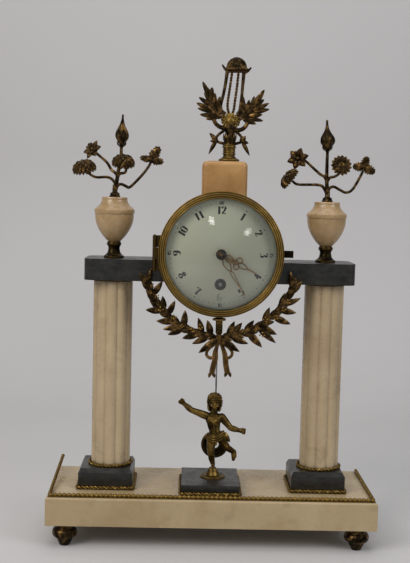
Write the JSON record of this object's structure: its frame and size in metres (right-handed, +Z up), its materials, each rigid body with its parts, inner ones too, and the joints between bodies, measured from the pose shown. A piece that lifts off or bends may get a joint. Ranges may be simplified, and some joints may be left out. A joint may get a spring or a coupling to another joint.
{
  "type": "portico mantel clock",
  "caption": "Portico mantel clock: marble base and columns carry a brass drum with an enamel dial, flower urns, a lyre finial, a laurel swag and a child figure before the pendulum.",
  "frame": {"origin": "middle of the base slab in plan, on the plane under its feet", "axes": "+X to the viewer's right when facing the dial, +Y from the dial to the back, +Z up"},
  "size_m": [0.31, 0.111, 0.4623],
  "materials": {
    "cream_marble": "polished cream marble",
    "honey_alabaster": "polished honey-coloured alabaster",
    "grey_veined_marble": "polished dark blue-grey veined marble",
    "gilt_bronze": "worn gilding over dark patinated bronze",
    "dark_brass": "darkened brass",
    "clock_brass": "lacquered movement brass",
    "hand_brass": "pierced and engraved gilt brass",
    "enamel": "off-white vitreous enamel",
    "glass": "clear domed glass",
    "iron": "black wrought iron",
    "steel": "polished clock steel"
  },
  "bodies": {
    "frame": {"base_slab": "cream_marble", "feet": "dark_brass", "front_bead_rail": "dark_brass", "side_rails": "dark_brass", "rope_mouldings": "dark_brass", "centre_plinth": "grey_veined_marble", "figure": "gilt_bronze", "figure_base": "gilt_bronze", "column_plinth_left": "grey_veined_marble", "column_plinth_right": "grey_veined_marble", "column_left": "cream_marble", "column_right": "cream_marble", "column_cap_plates": "dark_brass", "tie_rods": "iron", "lintel_left": "grey_veined_marble", "lintel_right": "grey_veined_marble", "urn_feet": "dark_brass", "urn_left": "cream_marble", "urn_right": "cream_marble", "bouquet_left": "gilt_bronze", "bouquet_right": "gilt_bronze", "drum_case": "dark_brass", "drum_brackets": "dark_brass", "top_block": "honey_alabaster", "lyre_foot": "gilt_bronze", "lyre_frame": "gilt_bronze", "lyre_strings": "gilt_bronze", "festoon_garland": "gilt_bronze", "festoon_bracket": "gilt_bronze", "festoon_bow": "gilt_bronze", "case_hinges": "dark_brass", "dial": "enamel", "front_plate": "clock_brass", "back_plate": "clock_brass", "plate_pillars": "clock_brass", "movement_screws": "steel", "suspension_cock": "clock_brass"},
    "bezel": {"bezel_ring": "dark_brass", "bezel_glass": "glass"},
    "rear_cover": {"rear_cover": "dark_brass"},
    "centre_arbor": {"centre_wheel": "clock_brass", "minute_hand": "hand_brass", "hand_nut": "hand_brass"},
    "hour_work": {"hour_wheel": "clock_brass", "hour_hand": "hand_brass"},
    "motion_wheel": {"minute_wheel": "clock_brass"},
    "second_wheel": {"second_wheel": "clock_brass"},
    "barrel": {"going_barrel": "clock_brass", "mainspring": "steel"},
    "winding_arbor": {"winding_arbor": "steel"},
    "click": {"click": "steel"},
    "third_wheel": {"third_wheel": "clock_brass"},
    "escape_wheel": {"escape_wheel": "clock_brass"},
    "anchor": {"anchor": "steel", "crutch": "steel"},
    "pendulum": {"suspension_spring": "steel", "pendulum_rod": "steel", "pendulum_bob": "dark_brass"},
    "rating_nut": {"rating_nut": "clock_brass"}
  },
  "joints": [
    {"name": "bezel_hinge", "type": "hinge", "parent": "frame", "child": "bezel", "pos_m": [-0.0586, -0.0378, 0.2767], "axis": [0, 0, -1], "range_deg": [0, 110]},
    {"name": "rear_cover_hinge", "type": "hinge", "parent": "frame", "child": "rear_cover", "pos_m": [-0.0543, 0.0283, 0.2767], "axis": [0, 0, 1], "range_deg": [0, 110]},
    {"name": "minute_hand_spin", "type": "hinge", "parent": "frame", "child": "centre_arbor", "pos_m": [0.0032, 0, 0.2767], "axis": [0, 1, 0], "continuous": true},
    {"name": "hour_hand_spin", "type": "hinge", "parent": "frame", "child": "hour_work", "pos_m": [0.0032, 0, 0.2767], "axis": [0, 1, 0], "continuous": true},
    {"name": "motion_wheel_spin", "type": "hinge", "parent": "frame", "child": "motion_wheel", "pos_m": [0.01151, 0, 0.2719], "axis": [0, 1, 0], "continuous": true},
    {"name": "second_wheel_spin", "type": "hinge", "parent": "frame", "child": "second_wheel", "pos_m": [0.01518, 0, 0.26492], "axis": [0, 1, 0], "continuous": true},
    {"name": "barrel_spin", "type": "hinge", "parent": "frame", "child": "barrel", "pos_m": [0.0032, 0, 0.2486], "axis": [0, 1, 0], "continuous": true},
    {"name": "third_wheel_spin", "type": "hinge", "parent": "frame", "child": "third_wheel", "pos_m": [-0.00645, 0, 0.2882], "axis": [0, 1, 0], "continuous": true},
    {"name": "escape_wheel_spin", "type": "hinge", "parent": "frame", "child": "escape_wheel", "pos_m": [0.0032, 0, 0.29806], "axis": [0, 1, 0], "continuous": true},
    {"name": "winding_spin", "type": "hinge", "parent": "frame", "child": "winding_arbor", "pos_m": [0.0032, 0, 0.2486], "axis": [0, 1, 0], "continuous": true},
    {"name": "click_pivot", "type": "hinge", "parent": "frame", "child": "click", "pos_m": [-0.0093, 0, 0.2546], "axis": [0, 1, 0], "range_deg": [0, 12], "stiffness_Nm_per_rad": 0.002, "springref_deg": -5.73},
    {"name": "pendulum_swing", "type": "hinge", "parent": "frame", "child": "pendulum", "pos_m": [0.0032, 0.014, 0.3099], "axis": [0, 1, 0], "range_deg": [-3.5, 3.5]},
    {"name": "anchor_rock", "type": "hinge", "parent": "frame", "child": "anchor", "pos_m": [0.0032, 0, 0.3099], "axis": [0, 1, 0], "range_deg": [-3.5, 3.5]},
    {"name": "rating_nut_turn", "type": "hinge", "parent": "pendulum", "child": "rating_nut", "pos_m": [0.0032, 0.014, 0.0845], "axis": [0, 0, 1], "continuous": true}
  ],
  "couplings": [
    {"joint": "hour_hand_spin", "follows": "minute_hand_spin", "ratio": 0.083333},
    {"joint": "motion_wheel_spin", "follows": "minute_hand_spin", "ratio": -0.33333},
    {"joint": "second_wheel_spin", "follows": "minute_hand_spin", "ratio": -0.16667},
    {"joint": "barrel_spin", "follows": "minute_hand_spin", "ratio": 0.020833},
    {"joint": "third_wheel_spin", "follows": "minute_hand_spin", "ratio": -12},
    {"joint": "escape_wheel_spin", "follows": "minute_hand_spin", "ratio": 126},
    {"joint": "anchor_rock", "follows": "pendulum_swing", "ratio": 1}
  ]
}
